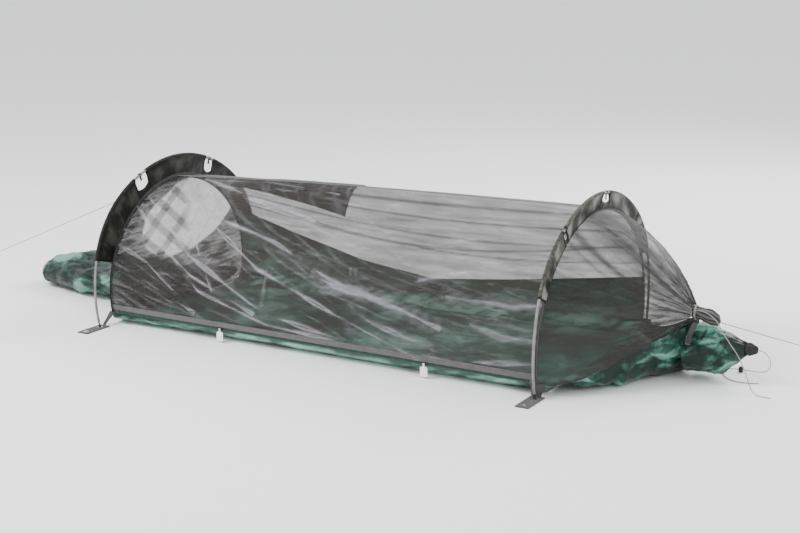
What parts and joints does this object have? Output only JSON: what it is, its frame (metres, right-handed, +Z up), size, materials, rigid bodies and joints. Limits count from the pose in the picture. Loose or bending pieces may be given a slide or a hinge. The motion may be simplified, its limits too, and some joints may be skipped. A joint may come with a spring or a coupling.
{
  "type": "bivy sack",
  "caption": "Gathered-end bivy sack pitched on hoop poles, with a net canopy, tub floor, zipped side, end guy lines and stake tabs.",
  "frame": {"origin": "on the ground at the middle of the sack's length and width", "axes": "+X from head to foot, -Y the zipped side, +Z up"},
  "size_m": [3.8693, 1.2048, 0.6041],
  "materials": {
    "net": "fine dark see-through insect net",
    "green_cloth": "light grey-green coated nylon",
    "dark_cloth": "dark coated nylon",
    "seam_tape": "woven binding tape",
    "hem_band": "grey woven band",
    "sleeve_dark": "dark coated nylon",
    "sleeve_pale": "pale olive-grey ripstop",
    "pole_alloy": "satin",
    "ferrule_alloy": "satin",
    "shock_cord": "braided elastic",
    "tip_plastic": "matte",
    "hook_plastic": "matte",
    "zip_tape": "woven zip tape",
    "zip_coil": "nylon coil",
    "slider_metal": "painted",
    "pull_plastic": "satin",
    "dark_webbing": "woven webbing",
    "grey_webbing": "woven webbing",
    "pale_webbing": "woven tape",
    "grommet_metal": "nickel plated",
    "guy_cord": "braided cord",
    "black_rubber": "elastic binding",
    "lock_plastic": "moulded",
    "spring_steel": "steel wire"
  },
  "bodies": {
    "root": {"near_net_panel": "net", "far_side_wall": "green_cloth", "hood_panel": "dark_cloth", "far_net_panel": "net", "ridge_seam_tape": "seam_tape", "near_hem_band": "hem_band", "head_end_net": "net", "foot_end_net": "net", "floor_tub": "green_cloth", "foot_trough": "green_cloth", "head_tail": "green_cloth", "foot_tail": "green_cloth", "head_gather_cord": "guy_cord", "foot_gather_cuff": "black_rubber", "net_gather_tail": "net", "net_gather_tie": "guy_cord", "gather_tab": "dark_webbing", "zip_tapes": "zip_tape", "zip_coil": "zip_coil", "zip_stops": "slider_metal", "stake_tabs": "dark_webbing", "pole_grommets": "grommet_metal", "stake_eyelets": "grommet_metal", "corner_straps": "grey_webbing", "gear_loops": "pale_webbing", "head_guy_line": "guy_cord", "foot_guy_line": "guy_cord", "head_guy_knot": "guy_cord", "foot_guy_knot": "guy_cord", "head_guy_loop": "dark_webbing", "tie_cord": "guy_cord", "tip_cord": "guy_cord"},
    "head_hoop": {"head_pole_near": "pole_alloy", "head_pole_crown": "pole_alloy", "head_pole_far": "pole_alloy", "head_sleeve_near": "sleeve_dark", "head_sleeve_crown": "sleeve_dark", "head_sleeve_far": "sleeve_dark", "head_pole_ferrules": "ferrule_alloy", "head_shock_cord": "shock_cord", "head_pole_tips": "tip_plastic", "head_pole_hooks": "hook_plastic"},
    "foot_hoop": {"foot_pole_near": "pole_alloy", "foot_pole_crown": "pole_alloy", "foot_pole_far": "pole_alloy", "foot_sleeve_near": "sleeve_pale", "foot_sleeve_crown": "sleeve_pale", "foot_sleeve_far": "sleeve_pale", "foot_pole_ferrules": "ferrule_alloy", "foot_shock_cord": "shock_cord", "foot_pole_tips": "tip_plastic", "foot_pole_hooks": "hook_plastic"},
    "zip_slider_head": {"zip_slider_head": "slider_metal"},
    "zip_slider_foot": {"zip_slider_foot": "slider_metal"},
    "zip_pull_head": {"zip_pull_head": "pull_plastic"},
    "zip_pull_foot": {"zip_pull_foot": "pull_plastic"},
    "cord_lock": {"cord_lock_barrel": "lock_plastic", "cord_lock_spring": "spring_steel"},
    "cord_lock_button": {"cord_lock_button": "lock_plastic"}
  },
  "joints": [
    {"name": "head_hoop_fold", "type": "hinge", "parent": "root", "child": "head_hoop", "pos_m": [-0.848, 0, 0.0076], "axis": [0, 1, 0], "range_deg": [0, 78], "deforming": ["near_net_panel", "far_net_panel", "hood_panel", "far_side_wall", "head_end_net", "foot_end_net", "ridge_seam_tape", "near_hem_band", "net_gather_tail", "net_gather_tie", "gather_tab"]},
    {"name": "foot_hoop_fold", "type": "hinge", "parent": "root", "child": "foot_hoop", "pos_m": [0.968, 0, 0.0076], "axis": [0, -1, 0], "range_deg": [0, 78]},
    {"name": "zip_slider_head_travel", "type": "slide", "parent": "root", "child": "zip_slider_head", "axis": [0.9996, -0.0276, 0], "range_m": [-0.46, 0.37]},
    {"name": "zip_slider_foot_travel", "type": "slide", "parent": "root", "child": "zip_slider_foot", "axis": [0.9996, -0.0276, 0], "range_m": [-0.45, 0.37]},
    {"name": "zip_pull_head_swing", "type": "hinge", "parent": "zip_slider_head", "child": "zip_pull_head", "pos_m": [-0.32406, -0.447, 0.05], "axis": [-0.9996, 0.0276, 0], "range_deg": [0, 150]},
    {"name": "zip_pull_foot_swing", "type": "hinge", "parent": "zip_slider_foot", "child": "zip_pull_foot", "pos_m": [0.54261, -0.47093, 0.05], "axis": [-0.9996, 0.0276, 0], "range_deg": [0, 150]},
    {"name": "cord_lock_slide", "type": "slide", "parent": "root", "child": "cord_lock", "axis": [1, 0, 0], "range_m": [0, 0.02]},
    {"name": "lock_button_press", "type": "slide", "parent": "cord_lock", "child": "cord_lock_button", "axis": [0, 0, -1], "range_m": [0, 0.0025], "stiffness_N_per_m": 400, "deforming": ["cord_lock_spring"]}
  ],
  "couplings": [
    {"joint": "foot_hoop_fold", "follows": "head_hoop_fold", "ratio": 1}
  ]
}
